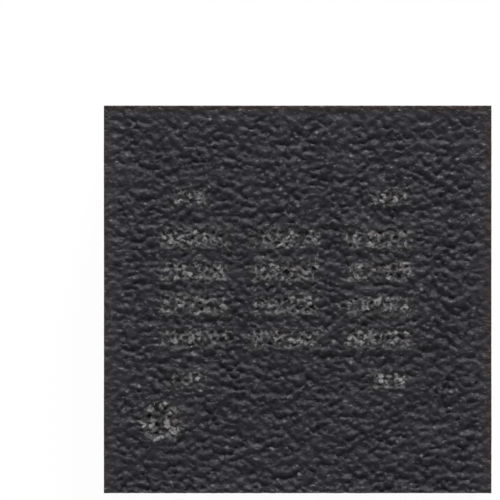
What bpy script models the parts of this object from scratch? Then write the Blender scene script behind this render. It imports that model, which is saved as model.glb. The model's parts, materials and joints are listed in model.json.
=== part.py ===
# Electronic fuse chip: a six-lead, no-lead power package, 2 mm square and 0.75 mm high.
# X runs along the two rows of leads, Y from row to row, Z up from the board.
# The origin is on the board under the middle of the body. Lead 1 is at -X, -Y.

import math

import bmesh
import bpy
from mathutils import Vector, noise

MM = 0.001

# Rows of leads, which set the body's length
LEADS_PER_ROW = 3
LEAD_PITCH = 0.65 * MM
LEAD_TO_END = 0.35 * MM  # middle of a row's last lead to the body's end

# Moulded body, sawn on all four sides
BODY_WIDTH = 2.00 * MM
BODY_HEIGHT = 0.75 * MM  # board to top face
STANDOFF = 0.02 * MM  # the metal stands this far below the compound
SEAM = 0.003 * MM  # gap kept wherever two pieces meet

# Moulded top: a smooth band along its edges, and the main swells of the rough field inside
BAND_WIDTH = 0.040 * MM
NEAR_BAND_WIDTH = 0.010 * MM  # along the -Y side
BAND_SLOPE = 0.020 * MM  # from the band's flat down to the field
FIELD_SINK = 0.018 * MM  # the field's middle level below the band
FIELD_SWELL = 0.006 * MM  # how far the swells reach above and below it
FIELD_PITCH = 0.10 * MM  # from one corner of a facet to the next
FIELD_STRAY = 0.025 * MM  # how far a corner strays sideways

# Round dot burnt into the field over lead 1
DOT_DIAMETER = 0.196 * MM
DOT_DEPTH = 0.012 * MM  # below the field's middle level
DOT_WALL = 0.012 * MM  # how far the dot's wall slopes in
DOT_FROM_END = 0.296 * MM  # its centre from the body's -X side
DOT_FROM_SIDE = 0.370 * MM  # its centre from the body's -Y side

# Leadframe: copper sheet, half etched from below to leave gripping ledges
FRAME_THICKNESS = 0.20 * MM
ETCH_DEPTH = 0.10 * MM
COVE = 0.030 * MM  # hollow radius that etching leaves under a ledge
EDGE_ROUND = 0.012 * MM  # soft lower edge of the exposed metal
FOOT_WIDTH = 0.30 * MM
FOOT_LENGTH = 0.25 * MM
FOOT_CORNER = 0.040 * MM
LEAD_SIDE_LEDGE = 0.040 * MM
LEAD_INNER_LEDGE = 0.070 * MM
PAD_FROM_END = 0.20 * MM  # exposed pad to the body's end
PAD_FROM_FOOT = 0.25 * MM  # exposed pad to the feet of either row
PAD_CORNER = 0.055 * MM
PAD_CHAMFER = 0.30 * MM  # cut corner that marks lead 1 from below
PAD_LEDGE = 0.060 * MM
TIE_BAR_WIDTH = 0.15 * MM
TIE_BAR_SPACING = 0.50 * MM  # centre to centre, two at each end of the pad
TIE_BAR_ROOT = 0.20 * MM  # how far a bar is let into the pad

# Silicon die and the adhesive under it
DIE_FROM_PAD_END = 0.175 * MM
DIE_FROM_PAD_SIDE = 0.100 * MM
DIE_THICKNESS = 0.20 * MM
GLUE_THICKNESS = 0.020 * MM
GLUE_SQUEEZE = 0.040 * MM  # adhesive pressed out past the die
GLUE_CORNER = 0.030 * MM

# Bond wires: a ball on the die, a loop, and a flattened stitch on the lead
WIRES_PER_LEAD = (3, 1, 1, 1, 1, 3)  # leads 1 to 6; the power leads carry three
WIRE_DIAMETER = 0.025 * MM
WIRE_SPACING = 0.090 * MM
BALL_DIAMETER = 0.060 * MM
BALL_HEIGHT = 0.020 * MM
BALL_PITCH = 0.45 * MM  # the die's pads stand closer than the leads
BALL_FROM_EDGE = 0.060 * MM
LOOP_RISE = 0.26 * MM  # length of the curve's upright handle
LOOP_LAND = 0.15 * MM  # length of the curve's handle over the lead
LAND_ANGLE = math.radians(38)
STITCH_LENGTH = 0.050 * MM
STITCH_WIDTH = 0.045 * MM
STITCH_THICKNESS = 0.008 * MM
STITCH_FROM_TIP = 0.12 * MM  # the wire's end from the lead's inner tip

# Facets
CORNER_STEPS = 5
EDGE_STEPS = 3
COVE_STEPS = 3
DOT_SIDES = 40
WIRE_SIDES = 10
BALL_STEPS = 4
LOOP_STEPS = 14
STITCH_STEPS = 3

BODY_LENGTH = (LEADS_PER_ROW - 1) * LEAD_PITCH + 2 * LEAD_TO_END
PAD_LENGTH = BODY_LENGTH - 2 * PAD_FROM_END
PAD_WIDTH = BODY_WIDTH - 2 * (FOOT_LENGTH + PAD_FROM_FOOT)
DIE_LENGTH = PAD_LENGTH - 2 * DIE_FROM_PAD_END
DIE_WIDTH = PAD_WIDTH - 2 * DIE_FROM_PAD_SIDE
GLUE_BOTTOM = FRAME_THICKNESS + SEAM
DIE_BOTTOM = GLUE_BOTTOM + GLUE_THICKNESS + SEAM
DIE_TOP = DIE_BOTTOM + DIE_THICKNESS
LEAD_TIP = BODY_WIDTH / 2 - FOOT_LENGTH - LEAD_INNER_LEDGE  # its distance from Y = 0


def clear_scene():
    for obj in list(bpy.data.objects):
        bpy.data.objects.remove(obj)


def material(name, colour, roughness, metallic):
    made = bpy.data.materials.new(name)
    made.use_nodes = True
    shader = made.node_tree.nodes["Principled BSDF"]
    shader.inputs["Base Color"].default_value = (*colour, 1.0)
    shader.inputs["Roughness"].default_value = roughness
    shader.inputs["Metallic"].default_value = metallic
    return made


def arc_corner(before, corner, after, radius):
    """Points of the round that replaces one corner of a convex outline."""
    to_before = (before - corner).normalized()
    to_after = (after - corner).normalized()
    half_angle = to_before.angle(to_after) / 2
    middle = (to_before + to_after).normalized()
    centre = corner + middle * (radius / math.sin(half_angle))
    start = corner + to_before * (radius / math.tan(half_angle)) - centre
    sweep = math.pi - 2 * half_angle
    points = []
    for step in range(CORNER_STEPS + 1):
        turn = sweep * step / CORNER_STEPS
        c, s = math.cos(turn), math.sin(turn)
        points.append(centre + Vector((start.x * c - start.y * s, start.x * s + start.y * c)))
    return points


def outline(corners, radii, grow):
    """A convex outline, anticlockwise, with side i (corner i to i + 1) moved out by grow[i].

    A corner with a radius is rounded, and its radius follows the sides. Radius 0 stays sharp.
    """
    count = len(corners)
    lines = []
    for i in range(count):
        start, end = Vector(corners[i]), Vector(corners[(i + 1) % count])
        along = (end - start).normalized()
        outward = Vector((along.y, -along.x))
        lines.append((start + outward * grow[i], along))
    moved = []
    for i in range(count):
        (a, u), (b, v) = lines[i - 1], lines[i]
        distance = (b - a).cross(v) / u.cross(v)
        moved.append(a + u * distance)
    points = []
    for i in range(count):
        if radii[i] == 0:
            points.append(moved[i])
            continue
        radius = max(radii[i] + min(grow[i - 1], grow[i]), radii[i] / 4)
        points += arc_corner(moved[i - 1], moved[i], moved[(i + 1) % count], radius)
    return points


def loft(bm, rings):
    """A closed skin through rings of equally many points, capped at both ends."""
    rows = [[bm.verts.new(point) for point in ring] for ring in rings]
    for lower, upper in zip(rows, rows[1:]):
        for i in range(len(lower)):
            j = (i + 1) % len(lower)
            bm.faces.new((lower[i], lower[j], upper[j], upper[i]))
    bm.faces.new(reversed(rows[0]))
    bm.faces.new(rows[-1])
    bmesh.ops.recalc_face_normals(bm, faces=bm.faces[:])


def finished_mesh(name, bm, smooth_under=math.radians(35)):
    mesh = bpy.data.meshes.new(name)
    bm.to_mesh(mesh)
    bm.free()
    mesh.shade_smooth()
    mesh.set_sharp_from_angle(angle=smooth_under)
    return mesh


def box_mesh(name, low, high):
    bm = bmesh.new()
    (x0, y0, z0), (x1, y1, z1) = low, high
    foot = [(x0, y0), (x1, y0), (x1, y1), (x0, y1)]
    loft(bm, [[(x, y, z) for x, y in foot] for z in (z0, z1)])
    return finished_mesh(name, bm)


def place(name, mesh, finish=None, location=(0, 0, 0), turn=0.0):
    """A piece of the chip, or a helper if it has no finish."""
    obj = bpy.data.objects.new(name, mesh)
    bpy.context.scene.collection.objects.link(obj)
    obj.location = location
    obj.rotation_euler.z = turn
    if finish:
        if not mesh.materials:
            mesh.materials.append(finish)
    else:
        obj.hide_render = True
        obj.display_type = "WIRE"
    return obj


def boolean(obj, operation, name, other=None, group=None):
    cut = obj.modifiers.new(name, "BOOLEAN")
    cut.operation = operation
    cut.solver = "EXACT"
    if group:
        cut.operand_type = "COLLECTION"
        cut.collection = group
    else:
        cut.object = other


def etched_rings(corners, radii, ledges, grow):
    """Rings of a half-etched piece: soft lower edge, upright wall, cove, ledge and flat top.

    A side whose ledge is None was cut by the saw, and it stays straight. With grow, the rings
    are those of the piece's pocket, which runs out through the body's underside.
    """
    levels = []
    if grow:
        levels.append((-STANDOFF, grow, False))
    else:
        for step in range(EDGE_STEPS + 1):
            turn = math.pi / 2 * step / EDGE_STEPS
            inset = EDGE_ROUND * (1 - math.sin(turn))
            levels.append((EDGE_ROUND * (1 - math.cos(turn)), -inset, False))
    for step in range(COVE_STEPS + 1):
        turn = math.pi / 2 * step / COVE_STEPS
        hollow = ETCH_DEPTH - COVE * (1 - math.sin(turn)) - grow
        levels.append((hollow, COVE * (1 - math.cos(turn)) + grow, False))
    levels.append((ETCH_DEPTH - grow, grow, True))
    levels.append((FRAME_THICKNESS + grow, grow, True))
    rings = []
    for level, out, on_ledge in levels:
        sides = []
        for ledge in ledges:
            if ledge is None:
                sides.append(0.0)
            else:
                sides.append(out + (ledge if on_ledge else 0.0))
        rings.append([(p.x, p.y, level) for p in outline(corners, radii, sides)])
    return rings


def lead_mesh(name, grow):
    """One lead of the -Y row, at X = 0. Its pocket runs out through the body's side."""
    half = FOOT_WIDTH / 2
    outer = -BODY_WIDTH / 2 - (FOOT_LENGTH if grow else 0.0)
    inner = -BODY_WIDTH / 2 + FOOT_LENGTH
    corners = [(-half, outer), (half, outer), (half, inner), (-half, inner)]
    radii = (0, 0, FOOT_CORNER, FOOT_CORNER)
    ledges = (None, LEAD_SIDE_LEDGE, LEAD_INNER_LEDGE, LEAD_SIDE_LEDGE)
    bm = bmesh.new()
    loft(bm, etched_rings(corners, radii, ledges, grow))
    return finished_mesh(name, bm)


def lead_places():
    """(number, X, turn) of each lead, counted anticlockwise from above."""
    places = []
    for number in range(2 * LEADS_PER_ROW):
        far_row, step = divmod(number, LEADS_PER_ROW)
        x = (step - (LEADS_PER_ROW - 1) / 2) * LEAD_PITCH
        places.append((number + 1, -x if far_row else x, math.pi * far_row))
    return places


def pad_mesh(name, grow):
    """The exposed pad that the die sits on, without its tie bars."""
    x, y, cut = PAD_LENGTH / 2, PAD_WIDTH / 2, PAD_CHAMFER
    corners = [(-x + cut, -y), (x, -y), (x, y), (-x, y), (-x, -y + cut)]
    radii = [PAD_CORNER] * len(corners)
    bm = bmesh.new()
    loft(bm, etched_rings(corners, radii, [PAD_LEDGE] * len(corners), grow))
    return finished_mesh(name, bm)


def tie_bar_mesh(name, side, row, grow):
    """Half-thickness bar that held the pad in the strip. side and row are -1 or 1."""
    reach = BODY_LENGTH / 2 + (PAD_FROM_END if grow else 0.0)
    x0, x1 = sorted((side * (PAD_LENGTH / 2 - TIE_BAR_ROOT), side * reach))
    y = row * TIE_BAR_SPACING / 2
    half = TIE_BAR_WIDTH / 2 + grow
    return box_mesh(name, (x0, y - half, ETCH_DEPTH - grow), (x1, y + half, FRAME_THICKNESS + grow))


def block_at(name, length, width, bottom, top, grow):
    x, y = length / 2 + grow, width / 2 + grow
    return box_mesh(name, (-x, -y, bottom - grow), (x, y, top + grow))


def glue_mesh(name, grow):
    """The adhesive layer, with its edge rounding up to the die."""
    x, y = DIE_LENGTH / 2, DIE_WIDTH / 2
    corners = [(-x, -y), (x, -y), (x, y), (-x, y)]
    levels = [(GLUE_BOTTOM - grow, GLUE_SQUEEZE + grow)]
    for step in range(1, EDGE_STEPS + 1):
        turn = math.pi / 2 * step / EDGE_STEPS
        rise, reach = math.sin(turn), math.cos(turn)
        levels.append((GLUE_BOTTOM + (GLUE_THICKNESS + grow) * rise, (GLUE_SQUEEZE + grow) * reach))
    bm = bmesh.new()
    rings = []
    for level, out in levels:
        points = outline(corners, [GLUE_CORNER] * 4, [max(out, grow)] * 4)
        rings.append([(p.x, p.y, level) for p in points])
    loft(bm, rings)
    return finished_mesh(name, bm)


def bezier(points, t):
    a, b, c, d = points
    s = 1 - t
    return a * s**3 + b * (3 * s * s * t) + c * (3 * s * t * t) + d * t**3


def wire_stations(span, grow):
    """(distance, height, half width, half thickness) down one wire, in its upright plane.

    Distance and height start at the middle of the ball's foot, on the die.
    """
    radius = WIRE_DIAMETER / 2
    ball_radius = BALL_DIAMETER / 2
    lead_level = FRAME_THICKNESS - DIE_TOP  # below the ball's foot, as both keep one seam
    stations = []
    for step in range(BALL_STEPS + 1):
        share = step / BALL_STEPS
        fullness = math.sqrt(1 - ((share - 0.45) / 0.62) ** 2)
        wide = max(ball_radius * fullness, radius) + grow
        height = BALL_HEIGHT * share + grow * (2 * share - 1)
        stations.append((0.0, height, wide, wide))
    landing = span - STITCH_LENGTH
    start = Vector((0.0, BALL_HEIGHT))
    end = Vector((landing, lead_level + radius))
    back = Vector((-math.cos(LAND_ANGLE), math.sin(LAND_ANGLE)))
    curve = (start, start + Vector((0.0, LOOP_RISE)), end + back * LOOP_LAND, end)
    for step in range(1, LOOP_STEPS + 1):
        point = bezier(curve, step / LOOP_STEPS)
        stations.append((point.x, point.y, radius + grow, radius + grow))
    for step in range(1, STITCH_STEPS + 1):
        share = step / STITCH_STEPS
        thick = radius + (STITCH_THICKNESS / 2 - radius) * share
        wide = radius + (STITCH_WIDTH / 2 - radius) * share
        reach = landing + STITCH_LENGTH * share + (grow if step == STITCH_STEPS else 0)
        stations.append((reach, lead_level + thick, wide + grow, thick + grow))
    return stations


def wire_mesh(name, span, grow):
    """A round wire swept through its stations, its plane being local XZ."""
    stations = wire_stations(span, grow)
    rings = []
    for i, (x, z, wide, thick) in enumerate(stations):
        before, after = stations[max(i - 1, 0)], stations[min(i + 1, len(stations) - 1)]
        along = Vector((after[0] - before[0], after[1] - before[1])).normalized()
        if x == 0.0:
            along = Vector((0.0, 1.0))
        elif i >= len(stations) - STITCH_STEPS:
            along = Vector((1.0, 0.0))
        ring = []
        for side in range(WIRE_SIDES):
            turn = 2 * math.pi * side / WIRE_SIDES
            across, up = wide * math.cos(turn), thick * math.sin(turn)
            ring.append((x - along.y * up, across, z + along.x * up))
        rings.append(ring)
    bm = bmesh.new()
    loft(bm, rings)
    return finished_mesh(name, bm, math.radians(60))


def wire_places():
    """(name, ball X, ball Y, span, heading) of each bond wire."""
    places = []
    ball_y = DIE_WIDTH / 2 - BALL_FROM_EDGE
    stitch_y = LEAD_TIP + STITCH_FROM_TIP
    for number, lead_x, turn in lead_places():
        row = -math.cos(turn)
        count = WIRES_PER_LEAD[number - 1]
        for k in range(count):
            offset = (k - (count - 1) / 2) * WIRE_SPACING
            ball = Vector((lead_x * BALL_PITCH / LEAD_PITCH + offset, row * ball_y))
            stitch = Vector((lead_x + offset, row * stitch_y))
            run = stitch - ball
            letter = "abcdef"[k] if count > 1 else ""
            heading = math.atan2(run.y, run.x)
            places.append((f"bond_wire_{number}{letter}", ball.x, ball.y, run.length, heading))
    return places


def dot_mesh(name):
    """Cutter for the dot: a shallow dish with a sloping wall."""
    field = BODY_HEIGHT - FIELD_SINK
    rings = []
    for level, radius in (
        (field - DOT_DEPTH, DOT_DIAMETER / 2 - DOT_WALL),
        (field, DOT_DIAMETER / 2),
        (BODY_HEIGHT + DOT_DEPTH, DOT_DIAMETER / 2),
    ):
        turns = [2 * math.pi * k / DOT_SIDES for k in range(DOT_SIDES)]
        rings.append([(radius * math.cos(t), radius * math.sin(t), level) for t in turns])
    bm = bmesh.new()
    loft(bm, rings)
    return finished_mesh(name, bm)


def build_leads(finish):
    mesh = lead_mesh("lead", 0)
    return [place(f"lead_{n}", mesh, finish, (x, 0, 0), turn) for n, x, turn in lead_places()]


def build_die_pad(finish):
    pad = place("die_pad", pad_mesh("die_pad", 0), finish)
    for side in (-1, 1):
        for row in (-1, 1):
            name = f"tie_bar_{'left' if side < 0 else 'right'}_{'near' if row < 0 else 'far'}"
            bar = place(name, tie_bar_mesh(name, side, row, 0))
            boolean(pad, "UNION", name, other=bar)
    return pad


def build_die_and_glue(silicon, adhesive):
    die = block_at("die", DIE_LENGTH, DIE_WIDTH, DIE_BOTTOM, DIE_TOP, 0)
    return [
        place("die", die, silicon),
        place("die_attach", glue_mesh("die_attach", 0), adhesive),
    ]


def build_wires(finish):
    wires = []
    for name, x, y, span, heading in wire_places():
        mesh = wire_mesh(name, span, 0)
        wires.append(place(name, mesh, finish, (x, y, DIE_TOP + SEAM), heading))
    return wires


def pockets():
    """Everything that the compound flows round, each grown by the seam."""
    lead = lead_mesh("pocket_lead", SEAM)
    made = [place(f"pocket_lead_{n}", lead, None, (x, 0, 0), t) for n, x, t in lead_places()]
    made.append(place("pocket_pad", pad_mesh("pocket_pad", SEAM)))
    for side in (-1, 1):
        for row in (-1, 1):
            name = f"pocket_tie_bar_{len(made)}"
            made.append(place(name, tie_bar_mesh(name, side, row, SEAM)))
    die = block_at("pocket_die", DIE_LENGTH, DIE_WIDTH, DIE_BOTTOM, DIE_TOP, SEAM)
    made.append(place("pocket_die", die))
    made.append(place("pocket_die_attach", glue_mesh("pocket_die_attach", SEAM)))
    for name, x, y, span, heading in wire_places():
        mesh = wire_mesh(f"pocket_{name}", span, SEAM)
        made.append(place(f"pocket_{name}", mesh, None, (x, y, DIE_TOP + SEAM), heading))
    dot_x = -BODY_LENGTH / 2 + DOT_FROM_END
    dot_y = -BODY_WIDTH / 2 + DOT_FROM_SIDE
    made.append(place("pocket_dot", dot_mesh("pocket_dot"), None, (dot_x, dot_y, 0)))
    return made


def top_box(inset):
    """Low X, low Y, high X and high Y of the band's inner edge, moved in by inset."""
    x = BODY_LENGTH / 2 - BAND_WIDTH - inset
    y = BODY_WIDTH / 2
    return -x, -y + NEAR_BAND_WIDTH + inset, x, y - BAND_WIDTH - inset


def lattice_point(box, column, columns, row, rows):
    x0, y0, x1, y1 = box
    return x0 + (x1 - x0) * column / columns, y0 + (y1 - y0) * row / rows


def field_corner(column, columns, row, rows):
    """One corner of the facets of the top's rough field. Those on its rim keep to the rim."""
    x, y = lattice_point(top_box(BAND_SLOPE), column, columns, row, rows)
    cell = Vector((column + 0.5, row + 0.5, 0.5))
    if 0 < column < columns and 0 < row < rows:
        stray = noise.cell_vector(cell) * 2 - Vector((1.0, 1.0, 1.0))
        x += FIELD_STRAY * stray.x
        y += FIELD_STRAY * stray.y
    return x, y, BODY_HEIGHT - FIELD_SINK + FIELD_SWELL * noise.cell(cell)


def body_block(name):
    """The compound before its pockets: a block with a smooth band round a rough, sunk field."""
    bm = bmesh.new()
    x, y = BODY_LENGTH / 2, BODY_WIDTH / 2
    foot = [(-x, -y), (x, -y), (x, y), (-x, y)]
    low = [bm.verts.new((*corner, STANDOFF)) for corner in foot]
    high = [bm.verts.new((*corner, BODY_HEIGHT)) for corner in foot]
    bm.faces.new(reversed(low))
    x0, y0, x1, y1 = top_box(BAND_SLOPE)
    columns = max(2, round((x1 - x0) / FIELD_PITCH))
    rows = max(2, round((y1 - y0) / FIELD_PITCH))
    field = {}
    for row in range(rows + 1):
        for column in range(columns + 1):
            field[column, row] = bm.verts.new(field_corner(column, columns, row, rows))
    # The rim runs anticlockwise from the corner by lead 1
    rim = [(c, 0) for c in range(columns)] + [(columns, r) for r in range(rows)]
    rim += [(c, rows) for c in range(columns, 0, -1)] + [(0, r) for r in range(rows, 0, -1)]
    edge = []
    for column, row in rim:
        spot = lattice_point(top_box(0), column, columns, row, rows)
        edge.append(bm.verts.new((*spot, BODY_HEIGHT)))
    turns = (0, columns, columns + rows, 2 * columns + rows, len(rim))
    for side in range(4):
        after = (side + 1) % 4
        bm.faces.new((low[side], low[after], high[after], high[side]))
        inner = (edge + edge[:1])[turns[side]:turns[side + 1] + 1]
        bm.faces.new((high[side], high[after], *reversed(inner)))
    for k in range(len(rim)):
        after = (k + 1) % len(rim)
        bm.faces.new((edge[k], edge[after], field[rim[after]]))
        bm.faces.new((edge[k], field[rim[after]], field[rim[k]]))
    for column in range(columns):
        for row in range(rows):
            square = [(column, row), (column + 1, row), (column + 1, row + 1), (column, row + 1)]
            if (column + row) % 2:
                square = square[1:] + square[:1]
            a, b, c, d = (field[spot] for spot in square)
            bm.faces.new((a, b, c))
            bm.faces.new((a, c, d))
    bmesh.ops.recalc_face_normals(bm, faces=bm.faces[:])
    return finished_mesh(name, bm)


def build_body(finish):
    """The moulded compound, with a pocket for every piece that it holds."""
    body = place("mould_body", body_block("mould_body"), finish)
    group = bpy.data.collections.new("pockets")
    bpy.context.scene.collection.children.link(group)
    for pocket in pockets():
        bpy.context.scene.collection.objects.unlink(pocket)
        group.objects.link(pocket)
    boolean(body, "DIFFERENCE", "pockets", group=group)
    return body


def main():
    clear_scene()
    compound = material("moulding_compound", (0.022, 0.021, 0.024), 0.55, 0.0)
    plated_copper = material("plated_copper", (0.62, 0.59, 0.57), 0.38, 1.0)
    silicon = material("silicon", (0.16, 0.17, 0.19), 0.22, 0.6)
    adhesive = material("silver_adhesive", (0.55, 0.55, 0.53), 0.5, 0.4)
    gold = material("bond_wire", (0.95, 0.70, 0.30), 0.25, 1.0)
    chip = bpy.data.objects.new("chip", None)
    bpy.context.scene.collection.objects.link(chip)
    pieces = [build_body(compound), build_die_pad(plated_copper)]
    pieces += build_leads(plated_copper)
    pieces += build_die_and_glue(silicon, adhesive)
    pieces += build_wires(gold)
    for piece in pieces:
        piece.parent = chip


main()
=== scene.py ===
import json
import math
from functools import partial

import bmesh
import bpy
import numpy as np
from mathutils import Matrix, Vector
from mathutils.bvhtree import BVHTree
from mathutils.geometry import delaunay_2d_cdt
from mathutils.kdtree import KDTree


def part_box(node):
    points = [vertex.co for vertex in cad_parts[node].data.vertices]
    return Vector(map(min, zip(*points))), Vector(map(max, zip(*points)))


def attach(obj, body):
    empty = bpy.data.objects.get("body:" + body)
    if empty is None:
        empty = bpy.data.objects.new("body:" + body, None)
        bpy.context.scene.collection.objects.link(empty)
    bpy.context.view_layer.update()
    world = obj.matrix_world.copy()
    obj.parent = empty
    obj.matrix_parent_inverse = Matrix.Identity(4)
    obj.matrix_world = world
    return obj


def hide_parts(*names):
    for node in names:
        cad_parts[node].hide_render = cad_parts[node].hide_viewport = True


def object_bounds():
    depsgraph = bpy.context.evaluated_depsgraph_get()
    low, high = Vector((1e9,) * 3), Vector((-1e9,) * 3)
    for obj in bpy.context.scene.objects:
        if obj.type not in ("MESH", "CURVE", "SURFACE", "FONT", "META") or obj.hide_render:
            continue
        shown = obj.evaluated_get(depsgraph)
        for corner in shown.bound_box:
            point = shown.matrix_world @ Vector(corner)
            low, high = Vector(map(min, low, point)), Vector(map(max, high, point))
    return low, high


mm = 0.001
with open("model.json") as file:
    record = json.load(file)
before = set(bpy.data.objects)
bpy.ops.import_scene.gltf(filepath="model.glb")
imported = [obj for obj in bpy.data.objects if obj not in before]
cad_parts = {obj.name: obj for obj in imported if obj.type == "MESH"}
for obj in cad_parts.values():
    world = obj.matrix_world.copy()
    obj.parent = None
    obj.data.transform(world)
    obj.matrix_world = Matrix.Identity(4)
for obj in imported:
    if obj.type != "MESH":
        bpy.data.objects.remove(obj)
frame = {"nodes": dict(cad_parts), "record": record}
cadLow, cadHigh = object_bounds()
nodes = frame["nodes"]
bodyLow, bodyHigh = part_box("mould_body")
print("frame loaded:", len(nodes), "nodes")


# Nodes, each added to the tree that was last begun

begun = []


def begin(tree):
    begun.append(tree)


def plug(socket, value):
    # a link from another node, or a fixed value
    if isinstance(value, bpy.types.NodeSocket):
        begun[-1].links.new(value, socket)
    else:
        socket.default_value = value


def put(kind, inputs=None, **settings):
    node = begun[-1].nodes.new(kind)
    for key, value in settings.items():
        setattr(node, key, value)
    for key, value in (inputs or {}).items():
        plug(node.inputs[key], value)
    return node


def calc(operation, *values, clamp=False):
    return put("ShaderNodeMath", dict(enumerate(values)), operation=operation, use_clamp=clamp).outputs[0]


def chained(operation, first, *others):
    for other in others:
        first = calc(operation, first, other)
    return first


times, plus, minus, least, most = (
    partial(chained, name) for name in ("MULTIPLY", "ADD", "SUBTRACT", "MINIMUM", "MAXIMUM")
)


def vector(operation, *values):
    node = put("ShaderNodeVectorMath", operation=operation)
    for place, value in enumerate(values):
        plug(node.inputs[3 if operation == "SCALE" and place == 1 else place], value)
    return node.outputs[1 if operation in ("LENGTH", "DISTANCE", "DOT_PRODUCT") else 0]


def split(value):
    return put("ShaderNodeSeparateXYZ", {0: value}).outputs


def joined(x=0.0, y=0.0, z=0.0):
    return put("ShaderNodeCombineXYZ", {0: x, 1: y, 2: z}).outputs[0]


def ramp(value, low, high, toLow=0.0, toHigh=1.0, smooth=True):
    # value from low to high becomes toLow to toHigh, and stays there past them
    inputs = {"Value": value, "From Min": low, "From Max": high, "To Min": toLow, "To Max": toHigh}
    shape = "SMOOTHSTEP" if smooth else "LINEAR"
    return put("ShaderNodeMapRange", inputs, interpolation_type=shape, clamp=True).outputs[0]


def noise(place, scale, detail=0.0, roughness=0.5, distortion=0.0):
    inputs = {"Vector": place, "Scale": scale, "Detail": detail}
    inputs |= {"Roughness": roughness, "Distortion": distortion}
    return put("ShaderNodeTexNoise", inputs).outputs[0]


def patches(place, scale, low, high, toLow=0.0, toHigh=1.0, detail=1.0, roughness=0.5):
    # a noise of that many waves per millimetre, whose values from low to high become toLow to toHigh
    return ramp(noise(place, scale, detail, roughness), low, high, toLow, toHigh)


def sway(place, settings, height):
    # noise that goes up and down about zero
    return times(minus(noise(place, *settings), 0.5), height)


def elsewhere(place, x, y, z=0.0):
    # the place moved aside, so that patterns don't follow each other
    return vector("ADD", place, (x, y, z))


def cells(place, scale, output=0, feature="F1", dimensions="3D", metric="EUCLIDEAN"):
    settings = {"feature": feature, "voronoi_dimensions": dimensions, "distance": metric}
    return put("ShaderNodeTexVoronoi", {"Vector": place, "Scale": scale}, **settings).outputs[output]


def blend(share, first, second):
    node = put("ShaderNodeMix", data_type="FLOAT", clamp_factor=True)
    for place, value in ((0, share), (2, first), (3, second)):
        plug(node.inputs[place], value)
    return node.outputs[0]


def tint(share, first, second):
    node = put("ShaderNodeMix", data_type="RGBA", clamp_factor=True)
    plug(node.inputs[0], share)
    for place, value in ((6, first), (7, second)):
        plug(node.inputs[place], (*value, 1.0) if isinstance(value, tuple) else value)
    return node.outputs[2]


# Laser marks on the top face: a round dot over lead 1, short ticks, and plain bars in a grid

marks = {
    "centre": (-0.058, 0.055),  # middle of the marked field
    "barPitch": (0.478, 0.172),  # three columns and four rows of bars
    "barSize": (0.335, 0.084),
    "tickSpread": (0.514, 0.472),  # from the middle of the field to each of the four ticks
    "tickSize": (0.165, 0.062),
    "tickShift": 0.017,
    "dotCentre": (bodyLow.x / mm + 0.296, bodyLow.y / mm + 0.370),
    "dotRadius": 0.100,
    "burntCentre": (bodyLow.x / mm + 0.284, bodyLow.y / mm + 0.402),
    "burntReach": (0.10, 0.60),  # floor and rim of the burnt hollow, as shares of the dot's radius
    "ringLow": 0.05,  # share of the crumbs left on that floor
    "charReach": (1.0, 0.4),  # from and to where it turns black, as shares of the same radius
    "edgeWobble": (30.0, 0.028),  # waves per millimetre and reach of the ragged edges
    "dotWobble": (33.0, 0.0308),
    "softEdge": 0.012,
    "haloReach": 0.055,
    "levelReach": 0.02,  # a tick's or the dot's own level goes this far past its edge
    "netScale": 27.0,  # meshes per millimetre of the burnt net that fills a mark
    "netWobble": (45.0, 0.010),
    "netWidth": (0.30, 0.04),  # half width of its threads, as shares of a mesh, out to in
    "netPatches": (22.0, 0.37, 0.57),
    "netGrain": (38.0, 0.38, 0.62, 0.30, 1.0, 1.5),
    "pitShare": 0.42,  # of the meshes
    "pitWall": (0.22, 0.46),
    # crumbs of bars and of the dot: wobble, number per millimetre, edge, and random number to brightness
    "crumb": ((52.0, 0.021), 31.0, (0.58, 0.30), (0.48, 0.80)),
    "chunk": ((42.0, 0.018), 26.0, (0.60, 0.36), (0.10, 0.55, 0.35, 1.0)),
    "rubble": (60.0, 0.34, 0.54, 0.50, 1.0),
    "threadShare": (0.70, 0.25),  # how pale the threads are beside the crumbs, in bars and in the dot
    "barLevel": 0.60,  # how pale each kind of mark is
    "tickLevel": 0.70,
    "dotLevel": 0.77,
}


def boxField(x, y, width, height):
    # signed distance to a rectangle round the origin, as the larger of the two overshoots
    dx = minus(calc("ABSOLUTE", x), width / 2)
    dy = minus(calc("ABSOLUTE", y), height / 2)
    return most(dx, dy)


def nearestOf(value, pitch, first, last, half=0.0):
    # distance from the nearest of an even row of places
    steps = calc("ROUND", minus(calc("DIVIDE", value, pitch), half))
    steps = most(least(steps, last), first)
    return minus(value, times(plus(steps, half), pitch))


def wobbled(place, scale, reach):
    # the place pushed about sideways, so that what is drawn there gets a ragged edge
    pushes = (minus(noise(at, scale, 1.0), 0.5) for at in (place, elsewhere(place, 7.3, 3.1)))
    return vector("ADD", place, vector("SCALE", joined(*pushes), 2 * reach))


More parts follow.
